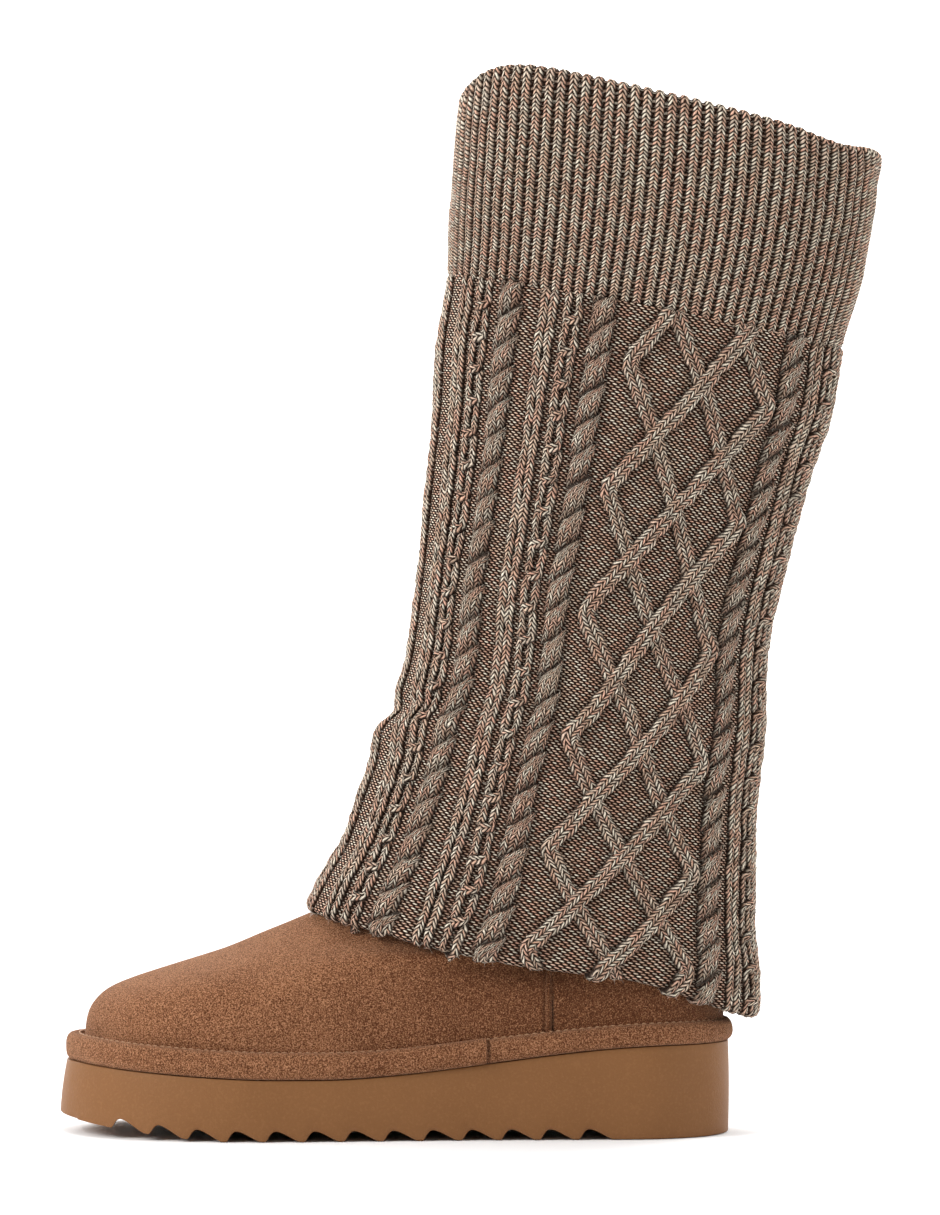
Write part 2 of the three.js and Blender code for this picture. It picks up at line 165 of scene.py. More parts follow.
class Graph:
    def __init__(self, name):
        self.material = bpy.data.materials.new(name)
        self.material.use_nodes = True
        self.tree = self.material.node_tree
        self.surface = self.tree.nodes["Principled BSDF"]

    def feed(self, node, sockets):
        # a flow is linked to its socket, anything else is the socket's value
        for key, value in sockets.items():
            socket = node.inputs[key if isinstance(key, int) else key.replace("_", " ")]
            if isinstance(value, Flow):
                self.tree.links.new(value.socket, socket)
            else:
                socket.default_value = value

    def add(self, kind, settings, *values, out=0, **named):
        node = self.tree.nodes.new(kind)
        for key, value in settings.items():
            setattr(node, key, value)
        self.feed(node, {**dict(enumerate(values)), **named})
        return Flow(self, node.outputs[out])

    def place(self):
        return self.add("ShaderNodeTexCoord", {}, out="Object")

    def noise(self, where, scale, detail=4.0, rough=0.55):
        return self.add("ShaderNodeTexNoise", {}, Vector=where, Scale=scale, Detail=detail, Roughness=rough)

    def mix(self, factor, *colours):
        first, second = [c if isinstance(c, Flow) else (*c, 1) for c in colours]
        node = self.tree.nodes.new("ShaderNodeMix")
        node.data_type = "RGBA"
        self.feed(node, {0: factor, 6: first, 7: second})
        return Flow(self, node.outputs[2])

    def ramp(self, factor, *stops):
        flow = self.add("ShaderNodeValToRGB", {}, factor)
        ramp = flow.socket.node.color_ramp
        while len(ramp.elements) < len(stops):
            ramp.elements.new(1)
        for stop, (place, colour) in zip(ramp.elements, stops):
            stop.position, stop.color = place, (*colour, 1)
        return flow

    def bump(self, height, distance, strength=1.0):
        return self.add("ShaderNodeBump", {}, Strength=strength, Distance=distance, Height=height)

    def split(self, flow):
        parts = self.add("ShaderNodeSeparateXYZ", {}, flow).socket.node.outputs
        return [Flow(self, socket) for socket in parts]

    def set(self, **sockets):
        self.feed(self.surface, sockets)
        return self.material


# Camera, lights and floor

studio = {
    "cameraPlace": (-0.0745, -2.2, 0.2096), "lens": 162.5, "sensor": 36.0,
    "floorColour": (0.9, 0.9, 0.9, 1), "paperColour": (1, 1, 1, 1), "skyStrength": 0.47,
    "reach": 6.0, "floorDrop": 0.2 * mm, "paperBehind": 2.5, "paperHeight": 5,
    "aim": (-0.07, 0, 0.2),
    "lamps": [
        # name, place, size, watts
        ("keyLight", (-1.8, -0.9, 1.3), 1.0, 42),
        ("sideLight", (1.7, -0.6, 1.0), 1.0, 11),
        ("topLight", (-0.1, 0.1, 1.9), 1.0, 14),
        ("leftRim", (-1.1, 1.7, 1.0), 0.8, 14),
        ("rightRim", (1.2, 1.6, 1.0), 0.8, 20),
    ],
}


def stageSheet(name, corners, **look):
    # a flat sheet that shows on its front only, so that a camera behind it sees through
    g = Graph(name)
    facing = 1 - g.add("ShaderNodeNewGeometry", {}, out="Backfacing")
    mesh = bpy.data.meshes.new(name)
    mesh.from_pydata(corners, [], [(0, 1, 2, 3)])
    mesh.materials.append(g.set(Alpha=facing, **look))
    sheet = bpy.data.objects.new(name, mesh)
    bpy.context.collection.objects.link(sheet)


def makeStudio():
    scene = bpy.context.scene
    camera = bpy.data.objects.new("camera", bpy.data.cameras.new("camera"))
    camera.location = studio["cameraPlace"]
    camera.rotation_euler = (math.pi / 2, 0, 0)
    camera.data.lens, camera.data.sensor_width = studio["lens"], studio["sensor"]
    camera.data.clip_end = 50
    bpy.context.collection.objects.link(camera)
    scene.camera = camera
    scene.view_settings.view_transform = "Standard"

    world = bpy.data.worlds.new("softRoom")
    world.use_nodes = True
    sky = world.node_tree.nodes["Background"]
    sky.inputs["Color"].default_value = studio["paperColour"]
    sky.inputs["Strength"].default_value = studio["skyStrength"]
    scene.world = world

    for name, where, size, watts in studio["lamps"]:
        lamp = bpy.data.objects.new(name, bpy.data.lights.new(name, "AREA"))
        lamp.data.size, lamp.data.energy = size, watts
        lamp.location = where
        aim = Vector(studio["aim"]) - Vector(where)
        lamp.rotation_euler = aim.to_track_quat("-Z", "Y").to_euler()
        bpy.context.collection.objects.link(lamp)

    reach, low = studio["reach"], -studio["floorDrop"]
    corners = [(-reach, -reach, low), (reach, -reach, low), (reach, reach, low), (-reach, reach, low)]
    stageSheet("floor", corners, Base_Color=studio["floorColour"], Roughness=0.9)
    # a bright wall far behind, so that the ground fades to white
    far, high, white = studio["paperBehind"], studio["paperHeight"], studio["paperColour"]
    corners = [(-reach, far, 0), (reach, far, 0), (reach, far, high), (-reach, far, high)]
    stageSheet("backdrop", corners, Base_Color=white, Emission_Color=white, Emission_Strength=1.0)


makeStudio()
print("studio made")


# Outline shared by the platform, band, suede foot and insole

soleShape = {
    "length": 265.5 * mm, "heelReach": 29 * mm, "ballWidth": 103 * mm,
    "forefootHeight": 23.8 * mm, "heelHeight": 36.6 * mm, "toeLift": 4.7 * mm,
    "toeSpring": 7.4 * mm, "toeFlare": 3.7 * mm, "toeTurn": 7 * mm,
    "notchPitch": 15.4 * mm, "notchCount": 13, "notchDepth": 4 * mm, "heelBlock": 17 * mm,
    # half widths as shares of the ball's width, from the heel to the toe
    "at": [0.03, 0.1, 0.2, 0.35, 0.5, 0.65, 0.74, 0.85, 0.93, 0.98],
    "outer": [0.228, 0.354, 0.388, 0.403, 0.442, 0.495, 0.508, 0.456, 0.345, 0.189],
    "inner": [0.228, 0.354, 0.383, 0.379, 0.408, 0.471, 0.488, 0.451, 0.354, 0.199],
    # one notch of the tread: places along it and how deep it is there
    "notchAlong": [0, 0.07, 0.17, 0.26, 0.36, 0.5, 0.8, 0.93, 1],
    "notchDeep": [0, 0, 0.62, 0.96, 1, 0.82, 0.22, 0, 0],
}


def endRound(share):
    return (2 * np.sqrt(np.clip(share * (1 - share), 0, None))) ** 0.9


def sideWidth(share, outer):
    s = soleShape
    ats = np.array(s["at"])
    sides = [np.array(s[k]) / endRound(ats) for k in ("inner", "outer")]
    inner, outerSide = [curveThrough(ats, side, share) for side in sides]
    return s["ballWidth"] * np.where(outer, outerSide, inner)


def shareOf(turn):
    # a turn round the outline as a share of the length, 0 at the heel and 1 at the toe
    return (1 - np.cos(turn)) / 2


def heelToToe(heel, toe, share):
    return heel + (toe - heel) * share ** 3


def centreLine(share):
    return soleShape["toeTurn"] * smooth(share, 0.4, 1) ** 1.2


def planPoint(turn):
    turn = np.mod(turn, 2 * math.pi)
    share = shareOf(turn)
    outer = turn <= math.pi
    half = sideWidth(share, outer) * endRound(share)
    x = soleShape["heelReach"] - soleShape["length"] * share
    return np.stack([x, centreLine(share) + np.where(outer, -half, half)], -1)


def planOffset(turn, amount):
    along = planPoint(turn + 0.01) - planPoint(turn - 0.01)
    out = unit(np.stack([-along[..., 1], along[..., 0]], -1))
    return planPoint(turn) + out * np.asarray(amount)[..., None]


def turnsRound(count):
    return np.linspace(0, 2 * math.pi, count, endpoint=False)


def shareAt(x):
    return np.clip((soleShape["heelReach"] - x) / soleShape["length"], 0, 1)


def topHeight(x):
    s, share = soleShape, shareAt(x)
    heel = 1 - smooth(share, 0.08, 0.62)
    tip = np.clip((share - 0.68) / 0.32, 0, 1) ** 1.5
    return s["forefootHeight"] + (s["heelHeight"] - s["forefootHeight"]) * heel + s["toeLift"] * tip


def onTop(xy, rise):
    # a ring that follows the platform's top
    return np.column_stack([xy, topHeight(xy[:, 0]) + rise])


def treadHeight(x):
    s = soleShape
    springStart = -s["heelBlock"] - s["notchPitch"] * (s["notchCount"] - 3)
    tip = s["heelReach"] - s["length"] - s["toeFlare"]
    share = np.clip((springStart - x) / (springStart - tip), 0, 1)
    along = (x + s["heelBlock"]) / s["notchPitch"]
    inTread = (along < 0) & (along > -s["notchCount"])
    deep = curveThrough(s["notchAlong"], s["notchDeep"], np.mod(along, 1))
    return s["toeSpring"] * share ** 1.4 + np.where(inTread, np.maximum(deep, 0) * s["notchDepth"], 0)


# Foam platform

foamLook = {
    "colour": (0.212, 0.0945, 0.0345), "dark": (0.17, 0.072, 0.025), "speck": (0.34, 0.17, 0.07),
    "roughness": 0.45, "roughnessSpread": 0.2, "grain": 0.35 * mm,
    "edge": 0.8 * mm, "wallRows": 16, "wallBulge": 0.35 * mm, "acrossColumns": 40, "sharpAngle": 38,
    # the rounded edges: how far from the edge and how far in, as shares of the edge
    "lowEdge": [(0.0, 1.0), (0.12, 0.45), (0.5, 0.12), (1.0, 0.0)],
    "topEdge": [(0.4, 0.0), (0.1, 0.18), (0.0, 0.6), (0.0, 8.0)],
}


def foamMaterial():
    look = foamLook
    g = Graph("moulded foam")
    where = g.place()
    cloudy = g.noise(where, 26, 3)
    speckle = g.noise(where, 900, 2)
    colour = g.mix((cloudy * 1.6 - 0.45).clip() * 0.5, look["colour"], look["dark"])
    colour = g.mix(((speckle - 0.5) * 0.8).clip(), colour, look["speck"])
    fine = g.noise(where, 1500, 2)
    ripple = g.noise(where, 90, 2)
    normal = g.bump(fine + ripple * 1.5, look["grain"], 0.5)
    roughness = look["roughness"] + cloudy * look["roughnessSpread"]
    return g.set(Base_Color=colour, Roughness=roughness, Normal=normal, Specular_IOR_Level=0.15)


def makePlatform():
    s, look = soleShape, foamLook
    fine = np.linspace(0, math.pi, 1500)
    # the lowest line of each side, and the stations along it: close at the ends and at each notch
    lows = []
    for turns in (fine, 2 * math.pi - fine):
        lows.append((planOffset(turns, s["toeFlare"] * shareOf(turns) ** 2)[:, 0], turns))
    front = max(xs.min() for xs, _ in lows)
    ends = s["heelReach"] + (front - s["heelReach"]) * shareOf(np.linspace(0, math.pi, 150))
    teeth = -s["heelBlock"] - s["notchPitch"] * np.linspace(0, s["notchCount"], s["notchCount"] * 18 + 1)
    stations = np.unique(np.concatenate([ends[1:-1], teeth[(teeth > front)]]))[::-1]
    stations = stations[np.concatenate([[True], np.abs(np.diff(stations)) > 0.05 * mm])]
    outer, inner = [np.interp(-stations, -xs, turns) for xs, turns in lows]
    loop = np.concatenate([outer, inner[::-1]])
    lowX = np.concatenate([stations, stations[::-1]])
    bottom, top, edge = treadHeight(lowX), topHeight(lowX), look["edge"]
    rows = [(bottom + rise * edge, -pull * edge) for rise, pull in look["lowEdge"]]
    for k in range(1, look["wallRows"]):
        share = k / look["wallRows"]
        height = (bottom + edge) + (top - edge * 0.6 - bottom - edge) * share
        rows.append((height, look["wallBulge"] * np.sin(share * math.pi)))
    rows += [(top - rise * edge, -pull * edge) for rise, pull in look["topEdge"]]
    grid = []
    for height, out in rows:
        flare = s["toeFlare"] * shareOf(loop) ** 2 * (1 - height / top)
        grid.append(np.column_stack([planOffset(loop, flare + out), height]))
    grid = np.array(grid)
    # the flare must not shift the notches, so the lowest rows keep their station's x
    keep = (np.arange(len(rows)) < len(look["lowEdge"]))[:, None]
    grid[..., 0] = np.where(keep & (loop > 0.35) & (np.abs(loop - math.pi) > 0.35), lowX, grid[..., 0])
    count, n = grid.shape[1], len(stations)
    vertices = [grid.reshape(-1, 3)]
    faces = [gridQuads(len(rows), count)[:, ::-1]]
    # underside: straight runs from the outer edge to the inner edge
    low = grid[0]
    t = np.linspace(0, 1, look["acrossColumns"] + 1)[1:-1]
    under = low[:n, None] * (1 - t[None, :, None]) + low[::-1][:n, None] * t[None, :, None]
    under[..., 2] = treadHeight(under[..., 0])
    first = np.arange(n)[:, None]
    index = np.concatenate([first, len(rows) * count + np.arange(n * len(t)).reshape(n, -1),
                            count - 1 - first], 1)
    a, b = index[:-1, :-1].ravel(), index[1:, :-1].ravel()
    c, d = index[1:, 1:].ravel(), index[:-1, 1:].ravel()
    faces.append(np.stack([a, b, c, d], -1))
    vertices.append(under.reshape(-1, 3))
    # top: closed under the insole and band
    high = (len(rows) - 1) * count
    a = high + np.arange(n - 1)
    b = high + count - 1 - np.arange(n - 1)
    faces.append(np.stack([a, b, b - 1, a + 1], -1))
    vertices, faces = np.concatenate(vertices), np.concatenate(faces)
    piece = meshObject("foam_platform", vertices, faces, foamMaterial())
    piece.data.set_sharp_from_angle(angle=math.radians(look["sharpAngle"]))
    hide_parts("platform")


makePlatform()
print("platform made")


# Suede band

bandShape = {
    "heightToe": 10.6 * mm, "heightHeel": 8.8 * mm, "bulgeHeel": 1.8 * mm, "bulgeToe": 0.6 * mm,
    "toeInset": 7.2 * mm, "heelInset": 2.1 * mm, "gap": 0.3 * mm, "uneven": 0.2 * mm,
    "columns": 640, "sharpAngle": 50,
    # the outer end of the strip: a step, a crease just behind it, and the turns that carry both
    "lapStep": 1.1 * mm, "lapCrease": 1.1 * mm, "lapPlace": -68 * mm, "lapRun": 45 * mm,
    "creaseTurn": 0.0045, "besideLap": [-0.014, -0.011, -0.008, -0.005, -0.0013, 0.0013],
    "stitchPitch": 3.1 * mm, "stitchLength": 2.5 * mm, "thread": 0.36 * mm, "stitchIn": 5.6 * mm,
    "stitchRings": 7, "stitchSides": 8, "threadDark": (0.30, 0.14, 0.06), "threadPale": (0.52, 0.30, 0.16),
    # the roll's section: how far in from its outermost line, in millimetres, and how far up, as a share
    "in": [99, 4.0, 2.3, 1.25, 0.6, 0.18, 0, 0.02, 0.2, 0.55, 1.1, 1.9, 2.9, 4.0, 5.2, 6.4, 99],
    "up": [0, 0, 0.0, 0.04, 0.12, 0.24, 0.38, 0.52, 0.66, 0.78, 0.88, 0.95, 0.99, 1, 0.97, 0.9, 0.66],
}


def suedeInset(share):
    return heelToToe(bandShape["heelInset"], bandShape["toeInset"], share)


def bandHeight(share):
    b = bandShape
    return b["heightHeel"] + (b["heightToe"] - b["heightHeel"]) * smooth(share, 0.1, 0.7)


suedeLook = {
    "light": (0.46, 0.225, 0.115), "middle": (0.225, 0.092, 0.043), "dark": (0.075, 0.026, 0.010),
    "brushed": 30, "fibre": 1800, "grain": 2700, "nap": 0.9 * mm,
    "shadeFrom": -135 * mm, "shadeGrowth": 11, "sheenTint": (1.0, 0.72, 0.5, 1),
}


def suedeMaterial(name, darker, shaded):
    look = suedeLook
    g = Graph(name)
    where = g.place()
    brushed = g.noise(where, look["brushed"], 4, 0.6)
    fibre = g.noise(where, look["fibre"], 2, 0.6)
    grain = g.noise(where, look["grain"], 2, 0.7)
    # painted shade: darker from the instep back to the heel, where the light falls off and the knit's hem
    # overhangs the suede
    paintedShade = ((g.split(where)[0] - look["shadeFrom"]) * look["shadeGrowth"]).clip()
    tone = (brushed - 0.5) * 0.45 + (fibre - 0.5) * 3.3 + (grain - 0.5) * 2.9
    tone = (tone + 0.5 - darker - paintedShade * shaded).clip()
    colour = g.ramp(tone, (0.0, look["dark"]), (0.5, look["middle"]), (1.0, look["light"]))
    normal = g.bump(fibre + grain * 0.8, look["nap"], 0.8)
    g.set(Sheen_Weight=0.2, Sheen_Roughness=0.3, Sheen_Tint=look["sheenTint"])
    return g.set(Base_Color=colour, Roughness=0.96, Normal=normal, Specular_IOR_Level=0.1)


def makeBand():
    b = bandShape
    lapShare = shareAt(b["lapPlace"])
    lapTurn = float(np.arccos(1 - 2 * lapShare))
    turns = np.unique(np.concatenate([turnsRound(b["columns"]), lapTurn + np.array(b["besideLap"])]))
    share = shareOf(turns)
    ahead = soleShape["length"] * (share - lapShare)
    onLap = (turns > lapTurn) & (turns < math.pi)
    lap = np.where(onLap, b["lapStep"] * np.clip(1 - ahead / b["lapRun"], 0, 1), 0)
    bulge = heelToToe(b["bulgeHeel"], b["bulgeToe"], share)
    crease = b["lapCrease"] * hump(turns - lapTurn + b["creaseTurn"], b["creaseTurn"])
    bulge = bulge - crease * (turns < lapTurn)
    low = b["gap"] - suedeInset(share)
    rings = []
    for inward, up in zip(b["in"], b["up"]):
        wobble = b["uneven"] * valueNoise(turns * 14, np.full_like(turns, up * 3), 5) * (inward < 2)
        xy = planOffset(turns, np.maximum(bulge + lap - inward * mm, low) + wobble)
        rings.append(onTop(xy, b["gap"] + up * (bandHeight(share) + lap * 0.6)))
    quads = gridQuads(len(rings), len(turns), True, True)[:, ::-1]
    suede = suedeMaterial("band suede", 0.03, 0.03)
    piece = meshObject("suede_band", np.array(rings).reshape(-1, 3), quads, suede)
    piece.data.set_sharp_from_angle(angle=math.radians(b["sharpAngle"]))
    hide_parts("band")


def makeBandStitches():
    # a row of thread stitches in the crease between the band and the foot
    b = bandShape
    fine = turnsRound(2000)
    share = shareOf(fine)
    bulge = heelToToe(b["bulgeHeel"], b["bulgeToe"], share)
    xy = planOffset(fine, np.maximum(b["gap"] - suedeInset(share), bulge - b["stitchIn"]))
    line = onTop(xy, b["gap"] + bandHeight(share) * 0.97)
    length = lengthAlong(line)
    count, sides = b["stitchRings"], b["stitchSides"]
    bow = np.sin(np.linspace(0, math.pi, count))
    radius = b["thread"] * np.sqrt(np.clip(bow, 0.04, 1))[:, None, None]
    angles = turnsRound(sides)[None, :, None]
    vertices, faces = [], []
    for start in np.arange(0, length[-1] - b["stitchPitch"], b["stitchPitch"]):
        run = start + np.linspace(0, 1, count) * b["stitchLength"]
        spine = np.stack([np.interp(run, length, line[:, k]) for k in range(3)], -1)
        along = unit(spine[-1] - spine[0])
        beside = np.cross(along, (0, 0, 1))
        across = np.cross(beside, along)
        rings = spine[:, None] + radius * (np.cos(angles) * beside + np.sin(angles) * across)
        rings[..., 2] += (bow * b["thread"] * 0.8)[:, None]
        faces.append(gridQuads(count, sides) + len(vertices) * count * sides)
        vertices.append(rings.reshape(-1, 3))
    g = Graph("waxed thread")
    colour = g.mix(g.noise(g.place(), 1500, 2), b["threadDark"], b["threadPale"])
    thread = g.set(Base_Color=colour, Roughness=0.6)
    meshObject("band_stitches", np.concatenate(vertices), np.concatenate(faces), thread)


makeBand()
makeBandStitches()
print("band made")


# Knitted shaft: shape

shaftShape = {
    "height": 428 * mm, "depth": 163.3 * mm, "width": 100 * mm, "wall": 4.5 * mm, "sideRound": 0.94,
    "cuffStart": 0.74, "cuffStep": 0.8 * mm,
    # the rim hangs in front and beside the back corner, and flares at the back; the hem lifts at one side
    "rimDroop": 15 * mm, "droopSpread": math.radians(27), "rimSag": 2.4 * mm, "sagFrom": 0.85,
    "sagTurn": 0.62, "sagSpread": 0.28, "rimFlare": 1.6 * mm, "flareFrom": 0.95, "flareSpread": 0.3,
    "hemLift": 5 * mm, "liftTurn": math.radians(62), "liftSpread": math.radians(24), "liftEnds": 0.08,
    # rows from the hem to the rim: front and back as shares of the depth, their heights of the height
    "at": [0, 0.035, 0.08, 0.15, 0.215, 0.265, 0.31, 0.4, 0.5, 0.585, 0.655, 0.74, 0.82, 0.9, 0.97, 1],
    "front": [0.863, 0.82, 0.777, 0.722, 0.677, 0.643, 0.618, 0.591,
              0.566, 0.548, 0.539, 0.516, 0.505, 0.497, 0.487, 0.48],
    "frontHeight": [0.2115, 0.2425, 0.27, 0.325, 0.373, 0.4135, 0.444, 0.5235,
                    0.6075, 0.6775, 0.7335, 0.799, 0.86, 0.918, 0.975, 1],
    "back": [0.257, 0.258, 0.247, 0.244, 0.246, 0.257, 0.266, 0.276,
             0.331, 0.383, 0.4285, 0.456, 0.499, 0.528, 0.541, 0.541],
    "backHeight": [0.11, 0.1475, 0.185, 0.245, 0.299, 0.341, 0.3715, 0.453,
                   0.54, 0.612, 0.6635, 0.729, 0.79, 0.846, 0.893, 0.909],
    "half": [1, 1, 0.98, 0.94, 0.92, 0.9, 0.89, 0.88, 0.89, 0.91, 0.93, 0.94, 0.96, 0.98, 1, 1],
}


def shaftRing(at, turn, inset=0.0):
    # at and turn are grids; turn is 0 at the back, a quarter turn on the outer side
    s = shaftShape

    def read(key):
        return curveThrough(s["at"], s[key], at)

    front = np.stack([-read("front") * s["depth"], read("frontHeight") * s["height"]], -1)
    back = np.stack([read("back") * s["depth"], read("backHeight") * s["height"]], -1)
    slope = unit(front - back)
    inset = np.broadcast_to(inset, at.shape)[..., None]
    front, back = front - slope * inset, back + slope * inset
    half = read("half") * s["width"] / 2 - inset[..., 0]
    p = back + (front - back) * shareOf(turn)[..., None]
    side = np.sign(np.sin(turn)) * np.abs(np.sin(turn)) ** s["sideRound"]
    fromBack = np.minimum(turn, 2 * math.pi - turn)
    droop = s["rimDroop"] * smooth(at, s["cuffStart"], 1) * hump(turn - math.pi, s["droopSpread"])
    sag = s["rimSag"] * smooth(at, s["sagFrom"], 1) * hump(fromBack - s["sagTurn"], s["sagSpread"])
    flare = s["rimFlare"] * smooth(at, s["flareFrom"], 1) * hump(fromBack, s["flareSpread"])
    lift = s["hemLift"] * (1 - smooth(at, 0, s["liftEnds"])) * hump(turn - s["liftTurn"], s["liftSpread"])
    return np.stack([p[..., 0] + flare, -half * side, p[..., 1] - (droop + sag) + lift], -1)


# Knitted shaft: the cabled pattern, laid out in millimetres of flat knit.
# across runs from the front crease towards the back, down from the cuff to the hem and round its lip.

knitPattern = {
    "row": 1.95, "halfRound": 199.0, "middleDepth": 78.0, "middleWidth": 46.0, "sink": 1.7, "step": 1.2,
    "longest": 420.0, "taper": 1.8, "legDrop": 1.35, "waves": 0.8, "wander": 0.55,
    # the slouch fold in front, where the suede's collar ends inside
    "slouch": 2.6, "slouchDown": 178, "slouchSlant": 0.25, "slouchEnds": (34, 78),
    "groundAcross": 2.65, "groundDown": 0.95, "groundGrid": 1.6, "groundRows": 230, "groundRise": 0.7,
    "groundShade": 0.85,
    # a strand's cross-section: where it starts in degrees, how many points and how full
    "tube": (208, 11, 0.72), "ropeTube": (205, 13, 0.7),
    "columnHalf": 1.85, "columnThick": 1.9, "columnLift": 0.15,
    "twinRibs": [7.0, 22.6, 60.8, 174.5, 193.0], "twinGap": 1.88,
    "openCables": [32.4, 71.0, 184.0], "openRepeat": 12.7, "openSwing": 2.35, "openHalf": 1.65,
    "openCross": 0.24, "openDepth": 2.0, "openBulk": 0.12,
    # each rope is a row of lobes whose upper edges slant across it and lie in front of the lobe above
    "ropes": [44.6, 83.0, 162.0], "ropeRepeat": 12.3, "ropeHalf": 4.7, "ropeThick": 4.5, "ropeSlant": 0.78,
    "ropeLean": 1.1, "ropeAlong": [0, 0.02, 0.05, 0.1, 0.18, 0.3, 0.44, 0.58, 0.72, 0.84, 0.93, 0.985],
    "ropeRise": [0.4, 0.68, 0.9, 1.0, 1.0, 0.95, 0.88, 0.81, 0.73, 0.64, 0.5, 0.36],
    # how far down the lattice's strands turn at the panel's front and back borders
    "lattice": (95.5, 154.5), "latticeHalf": 3.4, "latticeThick": 3.3, "latticeDepth": 0.9,
    "frontTurns": [-125, -75, -27, 23, 73.5, 123, 173, 217.5, 257, 297, 337, 377, 417, 457],
    "backTurns": [-122, -70, -18, 31, 78, 129.5, 174, 218, 257, 297, 337, 377, 417, 457],
}

# how uneven the strands are, as shares of their sizes or in millimetres
unevenKnit = {
    "place": 0.22, "half": 0.07, "thick": 0.10, "frayed": 0.75, "ragged": 0.3,
    "lobePlace": 0.06, "lobeHalf": 0.06, "lobeThick": 0.08, "lobeFrayed": 0.4, "lobeBowed": 0.9,
    "lobeRagged": 0.35,
}


def turnAcross(across, side):
    # the ellipse of the shaft's middle, measured from the front crease; side 0 is the outer one
    a, b = knitPattern["middleDepth"], knitPattern["middleWidth"]
    theta = np.linspace(0, math.pi, 721)
    step = np.sqrt((a * np.sin(theta)) ** 2 + (b * np.cos(theta)) ** 2)
    length = np.concatenate([[0], np.cumsum((step[1:] + step[:-1]) / 2 * np.diff(theta))])
    length *= knitPattern["halfRound"] / length[-1]
    theta = np.interp(across, length, theta)
    return math.pi - theta if side == 0 else math.pi + theta


def knitSheet(side):
    # the knit's face on one side, resampled so that its rows and columns are millimetres of knit
    s, p = shaftShape, knitPattern
    across = np.arange(0, p["halfRound"] + 0.5, 1.0)
    turns = turnAcross(across, side)
    ats = np.linspace(s["cuffStart"] + 0.004, 0, 260)
    rows = list(shaftRing(*np.meshgrid(ats, turns, indexing="ij"), p["sink"] * mm))
    # round the hem's lip
    for angle in np.radians([22, 45, 68, 90, 112, 135, 158]):
        inset = p["sink"] * mm + s["wall"] / 2 * (1 - math.cos(angle))
        ring = shaftRing(np.zeros_like(turns), turns, inset)
        ring[:, 2] -= s["wall"] * 0.4 * math.sin(angle)
        rows.append(ring)
    rows = np.array(rows)
    steps = np.linalg.norm(np.diff(rows, axis=0), axis=-1) / mm
    fall = np.concatenate([np.zeros((1, len(turns))), np.cumsum(steps, 0)])
    down = np.arange(0, fall[-1].max() + 1, 1.0)
    points = np.stack([np.stack([np.interp(down, fall[:, j], rows[:, j, k]) for j in range(len(turns))], 1)
                       for k in range(3)], -1)
    normals = gridNormals(points, False) * (1 if side == 0 else -1)
    for _ in range(2):
        normals[1:-1] = (normals[:-2] + 2 * normals[1:-1] + normals[2:]) / 4
    # soft waves, and the slouch fold: a trough with a ridge below it
    d, a = np.meshgrid(down, across, indexing="ij")
    fold = d - p["slouchDown"] + a * p["slouchSlant"]
    slouch = p["slouch"] * hump(fold - 10, 8) - p["slouch"] * hump(fold, 5)
    slouch = slouch * (1 - smooth(a, *p["slouchEnds"]))
    waves = p["waves"] * valueNoise(a / 33, d / 41, 11 + side)
    points = points + normals * ((slouch + waves) * mm)[..., None]
    return {"points": points, "normals": normals, "end": fall[-1]}


def onKnit(sheet, across, down):
    # points and normals at places given in millimetres of knit
    a = across + knitPattern["wander"] * valueNoise(across / 19, down / 24, 3)
    rows, columns = sheet["points"].shape[:2]
    a, d = np.clip(a, 0, columns - 1.001), np.clip(down, 0, rows - 1.001)
    i, j = d.astype(int), a.astype(int)
    u, v = (d - i)[..., None], (a - j)[..., None]

    def between(g):
        upper = g[i, j] * (1 - v) + g[i, j + 1] * v
        lower = g[i + 1, j] * (1 - v) + g[i + 1, j + 1] * v
        return upper * (1 - u) + lower * u

    return between(sheet["points"]), between(sheet["normals"])


def knitEnd(sheet, across):
    # how far down the knit ends
    return np.interp(across, np.arange(len(sheet["end"])), sheet["end"])


def halfTube(start, count, fullness):
    # a strand's cross-section: places from side to side and their heights
    angles = np.radians(np.linspace(start, 180 - start, count))
    return np.cos(angles), np.sign(np.sin(angles)) * np.abs(np.sin(angles)) ** fullness


# A path gives, for places down the knit: the place across, the lift, half the width and the thickness.

def straightStrands():
    p = knitPattern
    for centre in p["twinRibs"]:
        for shift in (-p["twinGap"], p["twinGap"]):
            def path(down, place=centre + shift):
                return place, p["columnLift"], p["columnHalf"], p["columnThick"]
            yield path, 1


def openStrands():
    # two columns that change sides at every repeat, the one that goes forward on top
    p = knitPattern
    for centre in p["openCables"]:
        for start in (1, -1):
            def path(down, centre=centre, start=start):
                repeat = (down + 3) / p["openRepeat"]
                turned = np.floor(repeat) + smooth(np.mod(repeat, 1), 0.0, p["openCross"])
                across = centre + p["openSwing"] * start * np.cos(math.pi * turned)
                lift = np.sin(math.pi * turned) * start * p["openDepth"]
                bulk = 1 + p["openBulk"] * np.clip(lift, 0, 2)
                return across, 0.1 + lift, p["openHalf"] * bulk, p["columnThick"] * bulk
            yield path, 1


